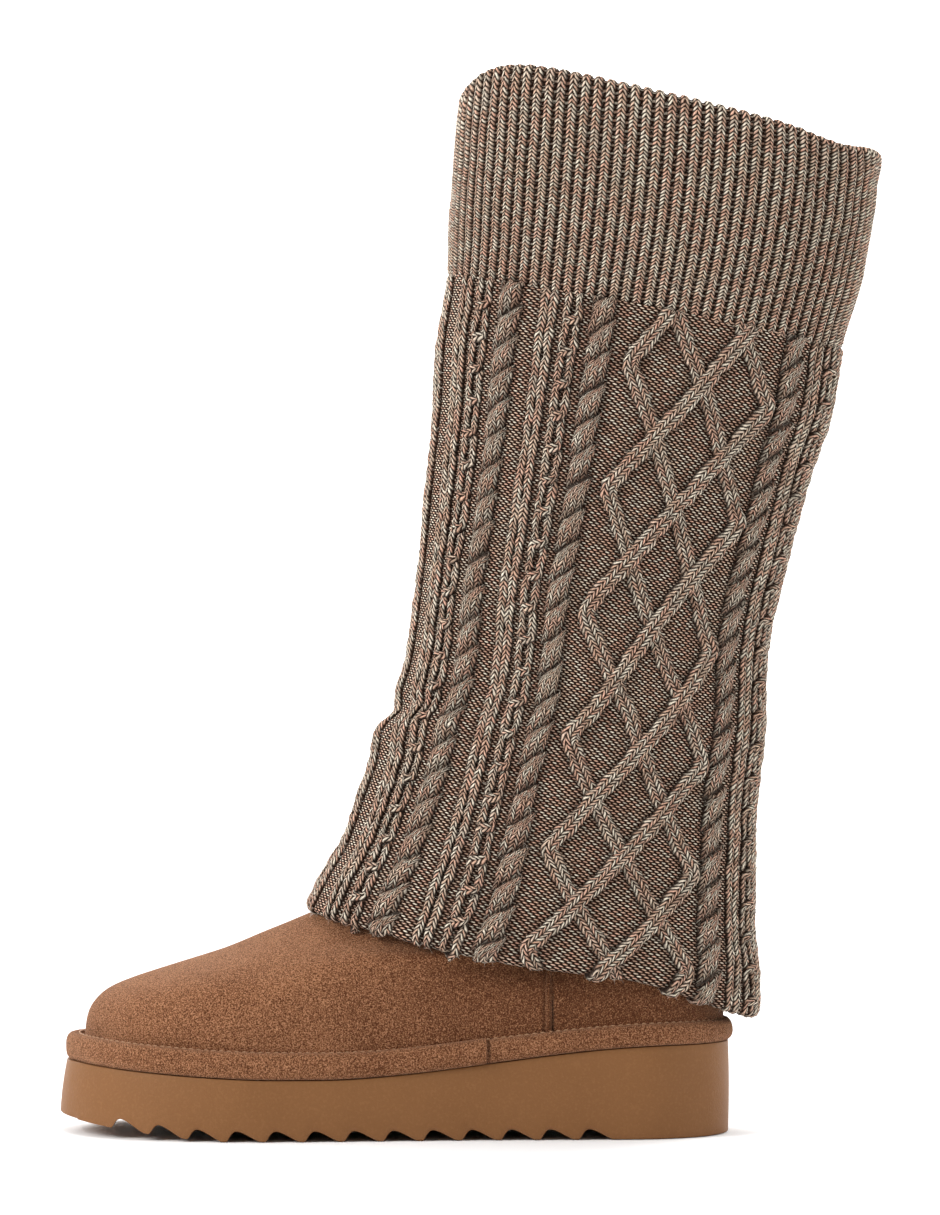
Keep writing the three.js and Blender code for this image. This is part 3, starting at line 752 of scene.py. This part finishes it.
def latticeStrands():
    # zigzags between the panel's borders; the legs that go forward lie on top
    p = knitPattern
    front, back = p["lattice"]
    for number in range(4):
        turns = [(p["frontTurns"][k], front) if (k - number) % 4 == 0 else (p["backTurns"][k], back)
                 for k in range(len(p["frontTurns"])) if (k - number) % 2 == 0]
        downs, places = np.array(turns).T

        def path(down, downs=downs, places=places):
            rounded = [np.interp(down + shift, downs, places) for shift in (-2.4, -0.8, 0.8, 2.4)]
            fromTurn = np.abs(down[:, None] - downs[None]).min(1)
            leg = np.searchsorted(downs, down)
            forward = places[np.clip(leg, 0, len(places) - 1)] < places[np.clip(leg - 1, 0, None)]
            lift = np.where(forward, 1.0, -0.7) * smooth(fromTurn, 0, 9) * p["latticeDepth"]
            knot = hump(fromTurn, 4.5)
            half = p["latticeHalf"] * (1 + 0.1 * knot)
            return sum(rounded) / 4, lift + 0.5 * knot, half, p["latticeThick"]
        yield path, 2


def ropeGrid(sheet, centre, number):
    # one rope: lobes of three columns, each tucked in behind the upper edge of the next
    p, rough = knitPattern, unevenKnit
    repeat = p["ropeRepeat"]
    end = float(knitEnd(sheet, centre))
    lobes = np.arange(-1, 33)
    t = (lobes[:, None] + np.array(p["ropeAlong"])).ravel()
    f, high = np.tile(p["ropeAlong"], len(lobes)), np.tile(p["ropeRise"], len(lobes))
    keep = (t * repeat > -6) & (t * repeat < end - 1)
    t, f, high = t[keep], f[keep], high[keep]
    uneven = np.floor(t) * 1.7 + number * 5.3

    def unlike(row, seed):
        return valueNoise(uneven, np.full_like(t, row), seed)

    sideways, upward = halfTube(*p["ropeTube"])
    lean = p["ropeLean"] * (1 - smooth(f, 0, 0.5)) - 0.45 * smooth(f, 0.5, 1)
    half = p["ropeHalf"] * (1 + rough["lobeHalf"] * unlike(0, 51)) * (0.9 + 0.1 * high)
    offset = lean[:, None] + half[:, None] * sideways
    frayed = valueNoise(np.sign(sideways)[None] * 3 + number, t[:, None] * 7, 55)
    offset = offset + rough["lobeFrayed"] * frayed
    across = centre + offset
    down = repeat * (t[:, None] + rough["lobePlace"] * unlike(1, 52)[:, None])
    bowed = valueNoise(offset / 1.7, uneven[:, None] + offset * 0, 56)
    down = down - p["ropeSlant"] * offset + rough["lobeBowed"] * bowed
    down = np.minimum(down, knitEnd(sheet, across))
    points, out = onKnit(sheet, across, np.maximum(down, 0))
    thick = p["ropeThick"] * high[:, None] * (1 + rough["lobeThick"] * unlike(2, 53)[:, None])
    closed = np.clip((end - t * repeat) / 9, 0.1, 1)[:, None] ** 0.5
    ragged = rough["lobeRagged"] * valueNoise(sideways[None] * 2.6 + number * 9, down / 1.7, 54)
    points = points + out * ((thick * upward * closed + ragged * high[:, None]) * mm)[..., None]
    toEdge = np.clip(1 - f / 0.42, 0, 1) ** 1.6
    su = (sideways + 1) * 1.5 - (1.25 * toEdge)[:, None] + number * 4
    sv = down / p["row"] - 0.9 * toEdge[:, None] * sideways + number * 0.37
    # painted shade: darker on the lobe's sides and at its ends, most towards the lower end where it tucks in
    # behind the next lobe
    depth = np.clip(0.08 + 1.15 * upward, 0, 1) * (0.1 + 1.2 * high[:, None] ** 2)
    inUse = np.arange(0.0, end, 1.0)
    track = (np.full_like(inUse, centre), inUse, np.full_like(inUse, p["ropeHalf"]))
    return points, np.stack([su, sv], -1), np.stack([np.ones_like(depth), depth], -1), track


def strandGrid(sheet, path, stitches, number):
    # one strand swept along its path: points, stitch coordinates, relief values that carry painted shade,
    # and its track
    p, rough = knitPattern, unevenKnit
    down = np.arange(0.0, p["longest"], p["step"])
    across, lift, half, thick = [np.broadcast_to(value, down.shape) for value in path(down)]

    def unlike(length, seed):
        return valueNoise(down / length, np.full_like(down, number * 7.7), seed)

    across = across + rough["place"] * unlike(5, 31)
    half = half * (1 + rough["half"] * unlike(3, 32))
    thick = thick * (1 + rough["thick"] * unlike(3, 33))
    last = int(np.argmax(down > knitEnd(sheet, across) - 0.5))
    down, across, lift, half, thick = [value[:last] for value in (down, across, lift, half, thick)]
    centre, out = onKnit(sheet, across, down)
    beside = onKnit(sheet, across + 0.6, down)[0] - onKnit(sheet, across - 0.6, down)[0]
    along = unit(np.gradient(centre, axis=0))
    beside = unit(beside - along * (beside * along).sum(1, keepdims=True))
    travelled = lengthAlong(centre) / mm
    fromEnd = np.minimum(travelled + 0.2, (travelled[-1] - travelled) * 0.3 + 0.2)
    grown = np.clip(fromEnd / p["taper"], 0, 1) ** 0.5
    half, thick = half * grown, thick * grown
    sideways, upward = halfTube(*p["tube"])
    upward *= 1 - (stitches - 1) * 0.3 * hump(sideways, 0.2)  # a groove along a double strand
    frayed = rough["frayed"] * valueNoise(np.sign(sideways)[None] * 3 + number, travelled[:, None] / 1.7, 35)
    aside = half[:, None] * sideways + frayed * sideways ** 2 * grown[:, None]
    points = centre[:, None] + beside[:, None] * (aside * mm)[..., None]
    ragged = rough["ragged"] * valueNoise(sideways[None] * 1.6 + number * 9, travelled[:, None] / 1.9, 34)
    rise = lift[:, None] + thick[:, None] * upward + ragged * grown[:, None]
    points = points + out[:, None] * (rise * mm)[..., None]
    share = (0.5 + 0.499 * sideways / abs(sideways).max()) * stitches
    su = np.broadcast_to(share + number * 4, points.shape[:2])
    sv = np.broadcast_to((travelled / p["row"] + number * 0.37)[:, None], points.shape[:2])
    # painted shade: darker on the strand's sides where it curves under, and where it passes behind another
    depth = np.clip(0.1 + 1.1 * upward + 0.12 * lift[:, None], 0, 1)
    return points, np.stack([su, sv], -1), np.stack([np.ones_like(depth), depth], -1), (across, down, half)


def joinGrids(grids, flip):
    # the vertices, faces and per-corner values of several grids
    order = [0, 3, 2, 1] if flip else [0, 1, 2, 3]

    def corners(a):
        four = np.stack([a[:-1, :-1], a[1:, :-1], a[1:, 1:], a[:-1, 1:]], 2)
        return four.reshape(-1, 4, 2)[:, order].reshape(-1, 2)

    parts, base = [], 0
    for points, stitch, relief in grids:
        rows, columns = points.shape[:2]
        faces = gridQuads(rows, columns, False)[:, order] + base
        parts.append((points.reshape(-1, 3), faces, corners(stitch), corners(relief)))
        base += rows * columns
    return [np.concatenate(part) for part in zip(*parts)]


def coverMap(strands, rows, columns):
    # how near each half millimetre of the ground lies to a strand
    cover = np.zeros((rows * 2, columns * 2))
    for across, down, half in strands:
        for share in np.linspace(-1, 1, 15):
            for shift in (0, 0.5):
                i = np.clip(((down + shift) * 2).astype(int), 0, rows * 2 - 1)
                j = np.clip(((across + share * half) * 2).astype(int), 0, columns * 2 - 1)
                cover[i, j] = 1
    for axis in (0, 1):
        for _ in range(3):
            cover = (np.roll(cover, 1, axis) + np.roll(cover, -1, axis) + cover) / 3
    return cover


# Knitted shaft: material and meshes

yarnLook = {
    "grey": (0.92, 0.67, 0.49), "taupe": (0.76, 0.46, 0.315), "pink": (0.88, 0.48, 0.345),
    # gap is the painted shade in the hollows; shade is the darker tone of the dull legs
    "pale": (1.0, 0.88, 0.71), "gap": (0.023, 0.0095, 0.005), "shade": (0.17, 0.092, 0.057),
    "ply": 1.5 * mm, "wander": 380, "fuzz": 2300, "drift": 75, "sheenTint": (1, 0.9, 0.8, 1),
}


def knitMaterial(name, legDrop):
    look = yarnLook
    g = Graph(name)
    su, sv, _ = g.split(g.add("ShaderNodeUVMap", {"uv_map": "stitch"}))
    # the relief map carries the kind of knit and a painted-shade value, low in the hollows beside the
    # strands
    kind, depth, _ = g.split(g.add("ShaderNodeUVMap", {"uv_map": "relief"}))
    where = g.place()
    wander = g.noise(where, look["wander"], 2)
    fuzz = g.noise(where, look["fuzz"], 2, 0.7)
    # knit stitches: two legs that fall away from the middle of the column
    x = abs((su.fract() + (fuzz - 0.5) * 0.10) * 2 - 1)
    leg = sv - x * legDrop + (wander - 0.5) * 0.9 + (fuzz - 0.5) * 0.3
    across = abs(leg.fract() * 2 - 1)
    row = (1.05 - across ** 1.7).clip()
    hole = (1 - x * 3.2).clip()
    edge = x ** 6
    knitHeight = row * (1 - hole * (0.25 + across * 0.6)) * (1 - edge * 0.8)
    # purl ground: short staggered bumps
    line = sv + (wander - 0.5) * 0.5
    place = su + line.floor() * 0.5
    bx = abs(place.fract() * 2 - 1)
    by = abs((line - (place.fract() - 0.5) * 0.35).fract() * 2 - 1)
    bead = (1.15 - (bx * 1.25) ** 3 - (by * 1.35) ** 2).clip()
    relief = kind * knitHeight + (1 - kind) * bead
    # marled yarn: each leg has its own tone, and the colours drift along the knit
    strandId = leg.floor() * 3.7 + su.floor() * 11.3 + (su.fract() - 0.5).maths("SIGN") * 5.1
    beadId = line.floor() * 7.3 + place.floor() * 3.1
    ident = kind * strandId + (1 - kind) * beadId
    marl = g.add("ShaderNodeTexWhiteNoise", {"noise_dimensions": "1D"}, W=ident, out="Value")
    drift = g.noise(where, look["drift"], 4, 0.65)
    hue = ((drift - 0.5) * 3.2 + 0.5 + (marl - 0.5) * 0.6).clip()
    grey, taupe, pink = look["grey"], look["taupe"], look["pink"]
    colour = g.ramp(hue, (0.0, grey), (0.4, taupe), (0.7, pink), (1.0, taupe))
    # some legs are pale and some dull, and loose fibres catch the light
    pale = ((marl * 7.31).fract() * 2.4 - 0.95).clip()
    colour = g.mix(pale, colour, look["pale"])
    dull = ((marl * 13.7).fract() * 1.5 - 0.85).clip() * 0.8
    colour = g.mix(dull, colour, look["shade"])
    colour = g.mix(((fuzz - 0.45) * 1.5).clip(), colour, look["pale"])
    # painted shade: dark between the legs, and between the strands by the shade value that the meshes carry
    light = ((relief * 1.2) ** 2.8).clip()
    colour = g.mix(light * depth, look["gap"], colour)
    normal = g.bump(relief + fuzz * 0.15, look["ply"])
    g.set(Sheen_Weight=0.08, Sheen_Roughness=0.35, Sheen_Tint=look["sheenTint"])
    return g.set(Base_Color=colour, Roughness=1.0, Normal=normal, Specular_IOR_Level=0.05)


def knitPiece(name, grids, side, yarn):
    vertices, faces, stitch, relief = joinGrids(grids, side == 1)
    piece = meshObject(name, vertices, faces, yarn, {"stitch": stitch, "relief": relief})
    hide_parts("shaft")
    return piece


def groundGrid(sheet, tracks):
    # the purl ground behind the strands: lower beside them, with painted shade beside them and just below
    # them
    p = knitPattern
    rows, columns = sheet["points"].shape[:2]
    cover = coverMap(tracks, rows, columns)
    across = np.linspace(0, p["halfRound"], int(p["halfRound"] / p["groundGrid"]))
    d = np.linspace(0, 1, p["groundRows"])[:, None] * knitEnd(sheet, across)[None]
    a = np.broadcast_to(across, d.shape)
    points, normals = onKnit(sheet, a, d)
    row = np.clip((d * 2).astype(int), 2, rows * 2 - 1)
    column = np.clip((a * 2).astype(int), 0, columns * 2 - 1)
    near = np.maximum(cover[row, column], cover[row - 2, column])
    points = points + normals * (p["groundRise"] * (1 - near) * mm)[..., None]
    stitch = np.stack([a / p["groundAcross"], d / p["groundDown"]], -1)
    return points, stitch, np.stack([np.zeros_like(d), np.clip(1.0 - near * p["groundShade"], 0, 1)], -1)


def makeCabledPart():
    p = knitPattern
    yarn = knitMaterial("cable yarn", p["legDrop"])
    made = []
    for side, name in ((0, "outer"), (1, "inner")):
        sheet = knitSheet(side)
        paths = [*straightStrands(), *openStrands(), *latticeStrands()]
        strands = [strandGrid(sheet, *path, number) for number, path in enumerate(paths)]
        strands += [ropeGrid(sheet, centre, len(paths) + k) for k, centre in enumerate(p["ropes"])]
        made.append(knitPiece("knit_cables_" + name, [strand[:3] for strand in strands], side, yarn))
        ground = groundGrid(sheet, [strand[3] for strand in strands])
        knitPiece("knit_ground_" + name, [ground], side, yarn)
    return made


ribCuff = {
    "ribs": 86, "rib": 1.8, "row": 1.42, "columnsPerRib": 9, "rows": 70, "knitShare": 0.78, "legDrop": 1.2,
    "spacedAt": 0.87, "sink": 1.3 * mm, "sway": 0.35,
    # over the rim and down the inside
    "rimAngles": [25, 50, 75, 100, 125, 150], "rimInset": 0.9 * mm,
    "insideAts": [*np.linspace(0.99, 0.74, 26), *np.linspace(0.72, 0.2, 14)], "insideOut": 0.5 * mm,
}


def cuffStitches(profile, along):
    # per-corner values: the stitch coordinate runs from 0 to 1 over the raised part of each rib
    c = ribCuff
    r, k = np.meshgrid(np.arange(len(along) - 1), np.arange(len(profile)), indexing="ij")
    middle = (k + 0.5) / c["columnsPerRib"]
    rib = np.floor(middle)
    knit = np.abs(np.mod(middle, 1) - 0.5) < c["knitShare"] / 2
    full = np.concatenate([profile, profile[:1]])
    stitches, reliefs = [], []
    for dr, dc in ((0, 0), (1, 0), (1, 1), (0, 1)):
        x = (k + dc) / c["columnsPerRib"]
        inRib = (x - rib - (1 - c["knitShare"]) / 2) / c["knitShare"]
        su = np.where(knit, rib + np.clip(inRib, 0.001, 0.999), x * 2)
        stitches.append(np.stack([su, -along[r + dr]], -1))
        # painted shade: darker down in the gaps between the ribs
        depth = np.clip(full[k + dc] / c["rib"] * 1.3 + 0.4, 0, 1)
        reliefs.append(np.stack([knit.astype(float), depth], -1))
    return {"stitch": np.stack(stitches, 2).reshape(-1, 2), "relief": np.stack(reliefs, 2).reshape(-1, 2)}


def makeCuff():
    s, c = shaftShape, ribCuff
    count, wall = c["ribs"] * c["columnsPerRib"], s["wall"]
    # ribs are evenly spaced along the rim, so the turns are found from the length round it
    fine = np.linspace(0, 2 * math.pi, 4001)
    length = lengthAlong(shaftRing(np.full_like(fine, c["spacedAt"]), fine))
    turns = np.interp(np.arange(count) / count * length[-1], length, fine)
    ats = np.linspace(s["cuffStart"], 1.0, c["rows"])
    at, turn = np.meshgrid(ats, turns, indexing="ij")
    step = s["cuffStep"] * (1 - smooth(at, s["cuffStart"], s["cuffStart"] + 0.1)) + c["sink"]
    surface = shaftRing(at, turn, step)
    normals = gridNormals(surface, True)
    across = np.arange(count) / c["columnsPerRib"]
    off = (np.mod(across, 1) - 0.5) / (c["knitShare"] / 2)
    profile = np.sqrt(np.clip(1 - off ** 2, 0, 1)) ** 0.75 * c["rib"]
    profile = profile * (1 + 0.12 * valueNoise(np.floor(across) * 1.7, np.zeros(count), 41))
    border = np.clip(lengthAlong(surface[:, 0]) / mm / 3.0, 0, 1)
    sway = c["sway"] * valueNoise(at * 30, across[None] / 2.2, 7)
    height = profile[None] * (0.25 + 0.75 * border)[:, None] + sway
    rings = list(surface + normals * (height * mm)[..., None])
    for angle in np.radians(c["rimAngles"]):
        inset = wall / 2 * (1 - math.cos(angle)) + c["rimInset"]
        ring = shaftRing(np.ones_like(turns), turns, inset)
        ring[:, 2] += wall / 2 * math.sin(angle) * 0.9
        ring = ring + normals[-1] * (profile * 0.8 * math.cos(angle) * mm)[:, None]
        ring[:, 2] += profile * 0.7 * math.sin(angle) * mm
        rings.append(ring)
    for at in c["insideAts"]:
        ring, deep = [shaftRing(np.full_like(turns, at), turns, wall + inset)
                      for inset in (-c["insideOut"], 20 * mm)]
        rings.append(ring + unit(deep - ring) * (profile * 0.5 * mm)[:, None])
    grid = np.array(rings)
    maps = cuffStitches(profile, lengthAlong(grid[:, 0]) / mm / c["row"])
    yarn = knitMaterial("cuff yarn", c["legDrop"])
    piece = meshObject("knit_cuff", grid.reshape(-1, 3), gridQuads(len(grid), count), yarn, maps)
    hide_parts("shaft")
    return piece


looseFibres = {
    # piece: how many, longest, width, how far from the middle line, colour, seed
    "knit_fuzz": (42000, 1.9 * mm, 0.09 * mm, 1.0, (0.8, 0.68, 0.56), 71),
    # the crease fibres are real, but their paler colour is a painted highlight for the backlit fuzz along
    # the front and back edges
    "crease_fuzz": (24000, 2.4 * mm, 0.11 * mm, 15 * mm, (0.95, 0.86, 0.76), 72),
}


def makeFuzz(name, pieces):
    # loose fibres: narrow blades that stand off the surface
    count, longest, width, reach, colour, seed = looseFibres[name]
    rng = np.random.default_rng(seed)

    def read(key):
        found = [np.zeros(len(piece.data.vertices) * 3) for piece in pieces]
        for piece, values in zip(pieces, found):
            piece.data.vertices.foreach_get(key, values)
        return np.concatenate(found).reshape(-1, 3)

    places, normals = read("co"), read("normal")
    near = np.abs(places[:, 1]) < reach
    places, normals = places[near], normals[near]
    pick = rng.integers(0, len(places), count)
    root, out = places[pick], normals[pick]
    sweep = rng.normal(size=(count, 3))
    sweep = unit(sweep - out * (sweep * out).sum(1, keepdims=True))
    length = (longest * rng.uniform(0.35, 1, count) ** 1.5)[:, None]
    lean = rng.uniform(0.05, 0.6, count)[:, None]
    tip = root + (out + sweep * lean) * length
    edge = np.cross(out, sweep) * width / 2
    vertices = np.stack([root - edge, root + edge, tip + edge * 0.3, tip - edge * 0.3], 1)
    faces = np.arange(count)[:, None] * 4 + [0, 1, 2, 3]
    g = Graph(name + " fibre")
    darker = tuple(0.7 * value for value in colour)
    fibre = g.set(Base_Color=g.mix(g.noise(g.place(), 300, 2), darker, colour), Roughness=1.0)
    meshObject(name, vertices.reshape(-1, 3), faces, fibre)


cables = makeCabledPart()
print("cabled part made")
cuff = makeCuff()
print("cuff made")
for name in looseFibres:
    makeFuzz(name, cables + [cuff])
print("fuzz made")


# Suede foot

footShape = {
    "height": 165 * mm, "ankleHalf": 38 * mm, "wall": 2.6 * mm, "gap": 0.3 * mm,
    "collar": (0.215, 0.255), "uneven": 0.5 * mm, "columns": 330, "rows": 111,
    # the raised side seam: a ridge with a groove on each side, ending under the knit
    "seamPlace": -43.5 * mm, "seamRise": 0.75, "seamGroove": 0.8, "seamTop": 115 * mm,
    "besideSeam": [0.2, 0.5, 0.9, 1.3, 1.7, 2.2, 2.8],
    # front and back as shares of the platform's length, heights as shares of the foot's height
    "front": [0.964, 0.942, 0.903, 0.834, 0.744, 0.653, 0.605, 0.573, 0.546, 0.525],
    "frontHeight": [0.297, 0.336, 0.366, 0.405, 0.453, 0.512, 0.548, 0.597, 0.667, 0.776],
    "back": [0.0068, 0.0053, 0.0045, 0.0045, 0.0038, 0.003, 0.0008, -0.0019, -0.0061, -0.0133],
    "backHeight": [0.33, 0.362, 0.394, 0.436, 0.485, 0.533, 0.576, 0.612, 0.648, 0.691],
    "sole": [1, 1, 1, 0.9, 0.7, 0.4, 0.2, 0.1, 0, 0],
    "follow": [0.75, 0.45, 0.2, 0, 0, 0, 0, 0, 0, 0],
    "width": [0.955, 0.945, 0.925, 0.9, 0.9, 0.89, 0.92, 0.94, 0.97, 1.01],
    "drop": [0, 0, 0, 1, 4, 9, 11, 10, 5, 0],
}


def footRing(turns, k):
    f, s = footShape, soleShape
    back = s["heelReach"] - s["length"] * f["back"][k]
    front = s["heelReach"] - s["length"] * f["front"][k]
    # the rings are skewed a little, so that the seam stands over its place on the platform
    skew = math.log((back - f["seamPlace"]) / (back - front)) / math.log(float(shareAt(f["seamPlace"])))
    share = shareOf(turns) ** min(max(skew, 0.72), 1.2)
    outer = turns <= math.pi
    x = back + (front - back) * share
    straight = (f["backHeight"][k] + (f["frontHeight"][k] - f["backHeight"][k]) * share) * f["height"]
    lift = f["frontHeight"][k] * f["height"] - topHeight(front)
    blend, ankle = f["sole"][k], f["ankleHalf"]
    half = (ankle + (sideWidth(share, outer) - ankle) * blend) * f["width"][k] * endRound(share)
    y = centreLine(share) * blend + np.where(outer, -half, half)
    hang = f["drop"][k] * mm * np.sin(turns) ** 2
    z = straight + (topHeight(x) + lift - straight) * f["follow"][k] - hang
    return np.column_stack([x, y, z])


def makeFoot():
    f = footShape
    beside = np.array([-place for place in reversed(f["besideSeam"])] + f["besideSeam"]) * mm
    atSeam = np.arccos(1 - 2 * (shareAt(f["seamPlace"]) + beside / soleShape["length"]))
    turns = np.unique(np.concatenate([turnsRound(f["columns"]), atSeam, 2 * math.pi - atSeam]))
    share = shareOf(turns)
    low = planOffset(turns, -suedeInset(share))
    rings = [onTop(low, f["gap"] + lift * bandHeight(share)) for lift in (0, 0.5, 1)]
    rings += [footRing(turns, k) for k in range(len(f["front"]))]
    inset = shaftShape["wall"] + f["gap"]
    rings += [shaftRing(np.full_like(turns, at), turns, inset) for at in f["collar"]]
    rings = np.array(rings)
    # smooth the rings along their height
    chords = np.linalg.norm(np.diff(rings, axis=0), axis=-1).mean(1)
    knots = np.concatenate([[0], np.cumsum(chords)])
    fine = np.linspace(0, knots[-1], f["rows"])
    grid = np.stack([np.stack([curveThrough(knots, rings[:, i, j], fine) for i in range(len(turns))], 1)
                     for j in range(3)], -1)
    normals = gridNormals(grid, True)
    x, z = grid[..., 0], grid[..., 2]
    soft = f["uneven"] * valueNoise(x / 0.022, z / 0.014 + turns[None] * 1.5, 21)
    fromSeam = np.abs(x - f["seamPlace"]) / mm
    ridge = (f["seamRise"] * hump(fromSeam, 0.8) - f["seamGroove"] * hump(fromSeam - 1.6, 0.5)) * mm
    ridge = ridge * smooth(f["seamTop"] - z, 0, 0.02)
    grid = grid + normals * (soft + ridge)[..., None]
    loop = np.concatenate([grid, (grid - normals * f["wall"])[::5][::-1]])
    quads = gridQuads(len(loop), len(turns), True, True)
    # the foot's suede gets strong painted shade towards the heel
    suede = suedeMaterial("foot suede", 0.0, 0.33)
    piece = meshObject("suede_foot", loop.reshape(-1, 3), quads, suede)
    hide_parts("upper")


makeFoot()
print("foot made")


# Fleece insole

fleeceLook = {
    "pale": (0.62, 0.47, 0.33), "dark": (0.34, 0.22, 0.13), "curl": 1.6 * mm, "gap": 0.4 * mm,
    # the edge's section in millimetres: how far up and how far in; then the rings of the top
    "edge": [(0.3, 0.0), (4.1, 0.0), (4.9, 0.5), (5.3, 1.6), (5.4, 6.0)],
    "topRings": np.linspace(0.82, 0.02, 26),
}


def makeInsole():
    look = fleeceLook
    g = Graph("fleece")
    curl = g.noise(g.place(), 240, 5, 0.65)
    colour = g.mix((curl * 1.7 - 0.35).clip(), look["dark"], look["pale"])
    fleece = g.set(Base_Color=colour, Roughness=1.0, Normal=g.bump(curl, look["curl"]))
    turns = turnsRound(260)
    edge = -suedeInset(shareOf(turns)) - footShape["wall"] - look["gap"]
    rings = []
    for rise, pull in look["edge"]:
        rings.append(onTop(planOffset(turns, edge - pull * mm), rise * mm))
    last = rings[-1][:, :2]
    for size in look["topRings"]:
        rings.append(onTop(last.mean(0) + (last - last.mean(0)) * size, rise * mm))
    quads = gridQuads(len(rings), len(turns))
    piece = meshObject("fleece_insole", np.array(rings).reshape(-1, 3), quads, fleece)
    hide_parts("insole")


makeInsole()
print("insole made")
